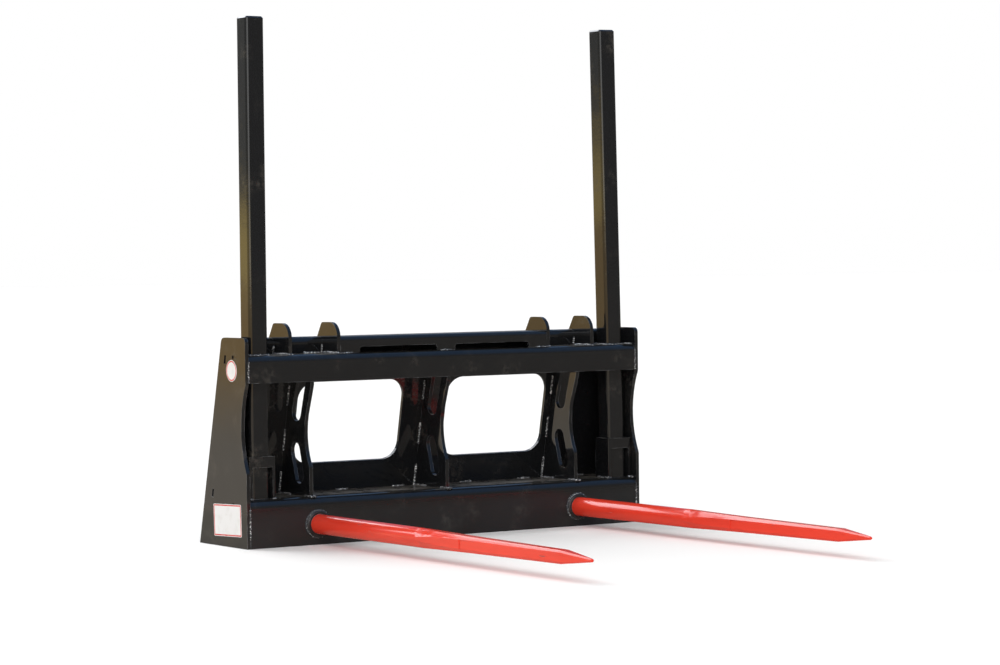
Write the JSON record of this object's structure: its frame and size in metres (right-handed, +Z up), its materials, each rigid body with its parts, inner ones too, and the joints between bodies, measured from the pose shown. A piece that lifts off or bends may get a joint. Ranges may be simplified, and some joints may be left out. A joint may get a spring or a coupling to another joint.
{
  "type": "bale spear",
  "caption": "Loader-mounted bale spear: welded frame with a bent quick-attach plate, cross beams, gussets and tall back posts that carries long tapered forged spears.",
  "frame": {"origin": "on the ground, in the middle of the footprint", "axes": "+X across the frame, +Y towards the loader with the spears pointing to -Y, +Z up"},
  "size_m": [1.168, 1.389, 1.2826],
  "materials": {
    "black_paint": "high gloss black enamel",
    "red_paint": "gloss red-orange enamel",
    "zinc": "zinc plated"
  },
  "bodies": {
    "root": {"side_plate_left": "black_paint", "side_plate_right": "black_paint", "rear_plate": "black_paint", "upper_beam": "black_paint", "lower_beam": "black_paint", "lower_web": "black_paint", "top_cover": "black_paint", "gusset_left": "black_paint", "gusset_middle": "black_paint", "gusset_right": "black_paint", "ear_left_inner": "black_paint", "ear_left_outer": "black_paint", "ear_right_inner": "black_paint", "ear_right_outer": "black_paint", "post_left": "black_paint", "post_right": "black_paint", "post_cap_left": "black_paint", "post_cap_right": "black_paint", "post_pocket_left": "black_paint", "post_pocket_right": "black_paint", "spear_bushings": "black_paint", "spear_left": "red_paint", "spear_right": "red_paint", "spear_nuts": "zinc"}
  },
  "joints": []
}
